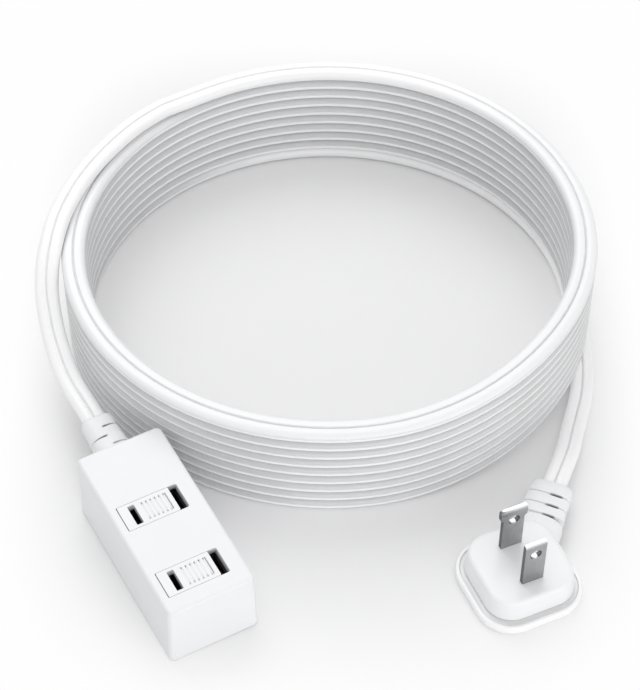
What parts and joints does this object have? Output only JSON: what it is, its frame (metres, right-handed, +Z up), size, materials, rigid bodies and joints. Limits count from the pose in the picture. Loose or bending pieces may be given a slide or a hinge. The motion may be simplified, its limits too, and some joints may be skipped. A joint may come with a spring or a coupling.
{
  "type": "extension cord",
  "caption": "Household extension cord: a flat twin cord in a round coil, a two-outlet tap with sliding shutters, and a flat plug with a diagonal strain relief.",
  "frame": {"origin": "middle of the tap's underside, on the surface that the part lies on", "axes": "+Y along the tap towards its cord, +Z up out of the outlets, +X to the side of the open slots and the coil"},
  "size_m": [0.1752, 0.2043, 0.037],
  "materials": {
    "white_shell": "fine satin moulded",
    "white_slider": "smooth moulded",
    "white_pvc": "soft flexible PVC",
    "inner_plastic": "plain moulded black",
    "nickel": "nickel-plated, lightly brushed",
    "brass": "stamped",
    "steel": "zinc-plated"
  },
  "bodies": {
    "cord_set": {"tap_housing": "white_shell", "tap_base": "white_shell", "contact_carrier": "inner_plastic", "tap_strain_relief": "white_pvc", "base_screw_1": "steel", "base_screw_2": "steel", "contact_bar_line": "brass", "contact_bar_neutral": "brass", "tap_core_line": "white_pvc", "tap_core_neutral": "white_pvc", "cord_to_tap": "white_pvc", "cord_coil": "white_pvc", "cord_to_plug": "white_pvc", "plug_cover": "white_shell", "plug_body": "white_shell", "plug_bridge": "inner_plastic", "plug_strain_relief": "white_pvc", "blade_line": "nickel", "blade_neutral": "nickel", "plug_core_line": "white_pvc", "plug_core_neutral": "white_pvc"},
    "shutter_1": {"shutter_1": "white_slider"},
    "shutter_2": {"shutter_2": "white_slider"}
  },
  "joints": [
    {"name": "shutter_1_slide", "type": "slide", "parent": "cord_set", "child": "shutter_1", "axis": [1, 0, 0], "range_m": [0, 0.00205]},
    {"name": "shutter_2_slide", "type": "slide", "parent": "cord_set", "child": "shutter_2", "axis": [1, 0, 0], "range_m": [0, 0.00205]}
  ]
}
